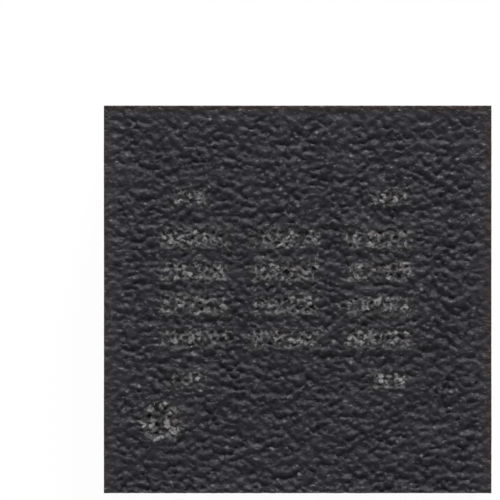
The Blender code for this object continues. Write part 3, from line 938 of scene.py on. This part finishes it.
def compoundMaterial():
    made, shader, place = newMaterial("mouldingCompound", Metallic=0.0)
    plug(shader.inputs["Specular IOR Level"], compound["shine"])
    x, y, z = split(place)
    flat = joined(x, y)
    fields = markFields(place)
    scale, reach = tones["blotch"]
    blotch = times(noise(flat, scale, 1.0), reach)
    band = plus(edgeGap(place, relief["bandSkip"]), blotch)
    colour = topColour(x, y, flat, fields, blotch, band)
    topZ = bodyHigh.z / mm
    cutReach = ramp(z, topZ - relief["pullClear"], topZ - relief["cutTop"], *relief["cutReach"])
    isSide = calc("LESS_THAN", edgeGap(place), cutReach)
    colour = tint(isSide, colour, sawnColour(x, y, z, place))
    isUnder = ramp(z, *tones["underTop"])
    colour = tint(isUnder, colour, underColour(x, y, flat, place, blotch))
    plug(shader.inputs["Specular Tint"], tint(isUnder, (1.0, 1.0, 1.0), compound["underShine"]))
    rough = patches(place, *mottle["rough"])
    rough = blend(isSide, blend(fields[0], rough, compound["markRough"]), compound["sawnRough"])
    fine = minus(noise(place, *compound["fineNoise"]), 0.5)
    fine = times(fine, patches(place, *mottle["fineShare"]))
    feed(shader, colour, rough, fine, *compound["fineBump"])
    return made


plating = {
    "light": (0.62, 0.575, 0.565),
    "dark": (0.33, 0.300, 0.295),
    # the next colour is a painted highlight for the rounded lip of the etched edges
    "lipHighlight": (0.94, 0.92, 0.90),
    "pit": (0.26, 0.240, 0.235),
    "stain": (0.40, 0.24, 0.18),
    "copper": (0.56, 0.285, 0.19),
    "sawnCopper": (0.63, 0.335, 0.21),
    "longLines": (0.05, 48.0, 0.45),  # stretch, lines per millimetre, and how strongly they show
    "shortLines": (0.22, 62.0, 0.9),
    "grainScale": (52.0, 0.8),
    "tone": (0.95, 1.42),
    "pitScale": 24.0,
    "pitEdge": (0.30, 0.12),
    "pitPatches": (9.0, 0.50, 0.58, 0.0, 1.0, 0.0),
    "lipHighlightReach": (0.024, 0.010),
    "wornReach": (0.045, -0.01),  # from the cut
    "wornGrain": (0.40, 0.60, 0.25, 0.80),
    "cutReach": 0.0006,
    "roughness": (0.36, 0.48),
    "slow": (6.0, 2.0),
    "slowShare": 0.30,
    "pitShare": 0.6,  # how strongly pits and the painted lip highlight show
    "lipHighlightShare": 0.85,
    "lipHighlightUneven": ((30.0, 1.0), 0.016),
    "wornUneven": ((13.0, 3.0, 0.6), 0.22),
    "roughs": (0.6, 0.30, 0.62),  # roughness of pits, lips and cuts
    "lineBump": (0.5, 0.0012),
}


def platedMaterial():
    made, shader, place = newMaterial("platedCopper", Metallic=1.0)
    x, y, z = split(place)
    end, etchedEdge = etchedGap(x, y)
    side = minus(bodyHigh.x / mm, calc("ABSOLUTE", x))
    # Brush lines, long and short, run along the rows of leads over a grainy plating
    brushed = []
    for stretch, scale, share in (plating["longLines"], plating["shortLines"]):
        line = noise(joined(times(x, stretch), y, z), scale, 2.0, 0.6)
        brushed.append(times(line, share))
    scale, share = plating["grainScale"]
    grain = noise(place, scale, 2.0, 0.65)
    slow = noise(place, *plating["slow"])
    lines = plus(*brushed, times(grain, share))
    shade = ramp(plus(lines, times(slow, plating["slowShare"])), *plating["tone"], smooth=False)
    colour = tint(shade, plating["dark"], plating["light"])
    pit = ramp(cells(place, plating["pitScale"]), *plating["pitEdge"])
    pit = times(pit, patches(place, *plating["pitPatches"]))
    colour = tint(times(pit, plating["pitShare"]), colour, plating["pit"])
    # The etched edges get a painted highlight: a near-white band where their rounded lip would catch the
    # light
    lipHighlight = ramp(plus(etchedEdge, sway(place, *plating["lipHighlightUneven"])), *plating["lipHighlightReach"])
    colour = tint(times(lipHighlight, plating["lipHighlightShare"]), colour, plating["lipHighlight"])
    # Bare copper shows on the cuts, and in blotches beside them
    worn = ramp(plus(end, sway(place, *plating["wornUneven"])), *plating["wornReach"])
    worn = times(worn, ramp(grain, *plating["wornGrain"]))
    colour = tint(worn, colour, plating["stain"])
    cut = calc("LESS_THAN", least(end, side), plating["cutReach"])
    scale, low, high = mottle["scored"][:3]
    scored = noise(scoredPlace(x, y, z), scale, 2.0)
    cutColour = tint(ramp(scored, low, high), plating["sawnCopper"], plating["copper"])
    colour = tint(cut, colour, cutColour)
    rough = ramp(slow, 0.3, 0.7, *plating["roughness"])
    for share, level in zip((pit, lipHighlight, cut), plating["roughs"]):
        rough = blend(share, rough, level)
    feed(shader, colour, rough, blend(cut, lines, scored), *plating["lineBump"])
    return made


circuit = {
    "Color1": (0.20, 0.22, 0.26, 1), "Color2": (0.26, 0.22, 0.24, 1), "Mortar": (0.34, 0.30, 0.24, 1),
    "Scale": 9.0, "Mortar Size": 0.03, "Bias": 0.1,
}
silicon = {"dark": (0.12, 0.13, 0.15), "light": (0.18, 0.19, 0.22), "rough": (20.0, 0.3, 0.7, 0.16, 0.28)}


def siliconMaterial():
    made, shader, place = newMaterial("silicon", Metallic=0.55)
    x, y, z = split(place)
    # Fine blocks of circuit show as faint tiles on the die's top
    tiles = put("ShaderNodeTexBrick", {"Vector": joined(x, y), **circuit}).outputs["Color"]
    shade = tint(noise(place, 6.0, 1.0), silicon["dark"], silicon["light"])
    onTop = calc("GREATER_THAN", z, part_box("die")[1].z / mm - 0.001)
    feed(shader, tint(onTop, shade, tiles), patches(place, *silicon["rough"]))
    return made


adhesive = {"pale": (0.62, 0.62, 0.60), "dark": (0.40, 0.40, 0.39), "rough": (0.0, 0.8, 0.35, 0.6)}


def adhesiveMaterial():
    made, shader, place = newMaterial("silverAdhesive", Metallic=0.45)
    flakes = cells(place, 60.0)
    colour = tint(flakes, adhesive["pale"], adhesive["dark"])
    feed(shader, colour, ramp(flakes, *adhesive["rough"]), flakes, 0.5, 0.002)
    return made


gold = {"light": (0.98, 0.72, 0.30), "dark": (0.90, 0.62, 0.24), "rough": (0.3, 0.7, 0.20, 0.32)}


def goldMaterial():
    made, shader, place = newMaterial("goldWire", Metallic=1.0)
    drawn = noise(place, 120.0, 2.0)
    feed(shader, tint(drawn, gold["light"], gold["dark"]), ramp(drawn, *gold["rough"]))
    return made


def dress(mesh, finish):
    mesh.materials.clear()
    mesh.materials.append(finish)


def dressNodes(finishes):
    slots = {part["node"]: part["material_slot"] for part in frame["record"]["subparts"]}
    for name, node in nodes.items():
        dress(node.data, finishes[slots[name]])
    print("solids dressed:", len(nodes))


# Stage, camera and light

photo = {
    "side": 500,  # pixels of the photograph's frame
    "scale": 194.15,  # pixels to the millimetre on the top face
    "chipCentre": (297.7, 299.4),
    "lens": 200.0,
    "sensor": 36.0,
    "clip": (0.01, 20),  # nearest and furthest seen, in camera distances
}

studio = {
    "floorSize": 90 * mm,
    "floorDrop": 0.0005 * mm,
    "floorGlow": 0.95,  # near the chip, the rest of the white is paint that takes its shadow
    "floorPaint": 0.06,
    "floorNear": 4.0,  # past here the floor turns into even white
    "floorFar": 12.0,
    "skyWhite": 1.0,  # level and below
    "skyTop": 0.14,  # overhead, where the camera hangs
    "skyRise": (0.18, 0.60),
    # lamps: azimuth from the photograph's top, elevation, distance, side and level
    "keyLamp": (6, 28, 60 * mm, 22 * mm, 1.35),
    "fillLamp": (200, 40, 60 * mm, 40 * mm, 0.10),
}


def buildCamera():
    data = bpy.data.cameras.new("camera")
    data.sensor_width = photo["sensor"]
    data.lens = photo["lens"]
    width = photo["side"] / photo["scale"] * mm
    distance = width * photo["lens"] / photo["sensor"]
    camera = placed("camera", data)
    right, down = ((at - photo["side"] / 2) / photo["scale"] * mm for at in photo["chipCentre"])
    camera.location = (-right, down, bodyHigh.z + distance)
    data.clip_start, data.clip_end = (distance * share for share in photo["clip"])
    bpy.context.scene.camera = camera


def floorMaterial():
    made = emptied(bpy.data.materials.new("floorPaint"))
    # Camera and reflections see a white floor with the chip's soft shadow, other rays pass to the white below
    far = ramp(vector("LENGTH", inMillimetres()), studio["floorNear"], studio["floorFar"])
    white = blend(far, studio["floorGlow"], 1.0)
    glow = put("ShaderNodeEmission", {"Color": (1, 1, 1, 1), "Strength": white}).outputs[0]
    grey = blend(far, studio["floorPaint"], 0.0)
    paint = put("ShaderNodeBsdfDiffuse", {"Color": joined(grey, grey, grey)}).outputs[0]
    seen = put("ShaderNodeAddShader", {0: glow, 1: paint}).outputs[0]
    clear = put("ShaderNodeBsdfTransparent").outputs[0]
    path = put("ShaderNodeLightPath").outputs
    back = put("ShaderNodeNewGeometry").outputs["Backfacing"]
    seenBy = most(path["Is Camera Ray"], path["Is Glossy Ray"], path["Is Transmission Ray"])
    share = times(seenBy, minus(1.0, back))
    shown = put("ShaderNodeMixShader", {0: share, 1: clear, 2: seen}).outputs[0]
    put("ShaderNodeOutputMaterial", {"Surface": shown})
    return made


def buildFloor():
    half = studio["floorSize"] / 2
    mesh = bpy.data.meshes.new("floor")
    z = cadLow.z - studio["floorDrop"]
    corners = [(-half, -half, z), (half, -half, z), (half, half, z), (-half, half, z)]
    mesh.from_pydata(corners, [], [(0, 1, 2, 3)])
    mesh.materials.append(floorMaterial())
    floor = placed("floor", mesh)


def buildWorld():
    bpy.context.scene.world = emptied(bpy.data.worlds.new("studio"))
    height = split(put("ShaderNodeTexCoord").outputs["Generated"])[2]
    level = ramp(height, *studio["skyRise"], studio["skyWhite"], studio["skyTop"])
    sky = put("ShaderNodeBackground", {"Color": (1, 1, 1, 1), "Strength": level}).outputs[0]
    put("ShaderNodeOutputWorld", {"Surface": sky})


def lamp(name, azimuth, elevation, distance, size, level):
    # level is how bright a white card facing the lamp looks at the chip
    data = bpy.data.lights.new(name, "AREA")
    data.shape = "SQUARE"
    data.size = size
    data.energy = level * math.pi ** 2 * distance ** 2
    turn, rise = math.radians(azimuth), math.radians(elevation)
    out = Vector((math.sin(turn) * math.cos(rise), math.cos(turn) * math.cos(rise), math.sin(rise)))
    light = placed(name, data)
    light.location = out * distance
    light.rotation_euler = out.to_track_quat("Z", "Y").to_euler()
    light.visible_camera = False


def buildLights():
    for name in ("keyLamp", "fillLamp"):
        lamp(name, *studio[name])


finishes = {
    "moulding_compound": compoundMaterial(),
    "plated_copper": platedMaterial(),
    "silicon": siliconMaterial(),
    "silver_adhesive": adhesiveMaterial(),
    "bond_wire": goldMaterial(),
}
dressNodes(finishes)
body = buildBody(finishes["moulding_compound"])
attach(body, "root")
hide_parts("mould_body")
buildCamera()
buildFloor()
buildWorld()
buildLights()
bpy.context.scene.view_settings.view_transform = "Standard"
print("stage ready")
